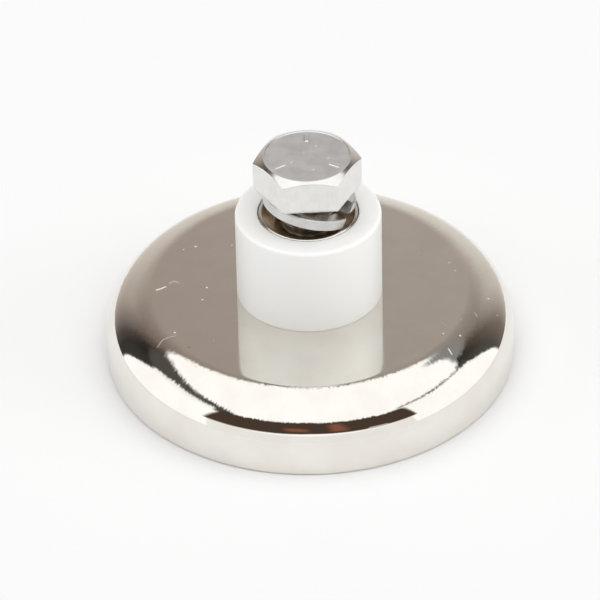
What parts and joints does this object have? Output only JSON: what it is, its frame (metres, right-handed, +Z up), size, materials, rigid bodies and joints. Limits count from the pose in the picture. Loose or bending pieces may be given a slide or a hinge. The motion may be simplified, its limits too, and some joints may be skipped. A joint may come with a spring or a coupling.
{
  "type": "pot magnet",
  "caption": "Round pot magnet with a rounded steel cup, a raised threaded bush in a plastic spacer sleeve, and a hexagon bolt with a split spring washer.",
  "frame": {"origin": "centre of the cup's rim, which is the holding face", "axes": "+Z runs up the bush and the bolt, away from the holding face; the bolt head's flats are turned 2.8 degrees from the row axes"},
  "size_m": [0.057, 0.057, 0.033],
  "materials": {
    "nickel_cup": "bright nickel plate with fine wiping scratches",
    "ferrite": "ground, matt",
    "resin": "cured, slightly glossy",
    "nickel_bush": "turned, nickel plated",
    "milky_nylon": "milky, translucent, satin",
    "stainless_bolt": "cold-headed stainless, satin",
    "spring_steel": "plated, satin"
  },
  "bodies": {
    "root": {"cup": "nickel_cup", "ring_magnet": "ferrite", "adhesive_ring": "resin", "threaded_bush": "nickel_bush", "spacer_sleeve": "milky_nylon", "hex_bolt": "stainless_bolt", "spring_washer": "spring_steel"}
  },
  "joints": []
}
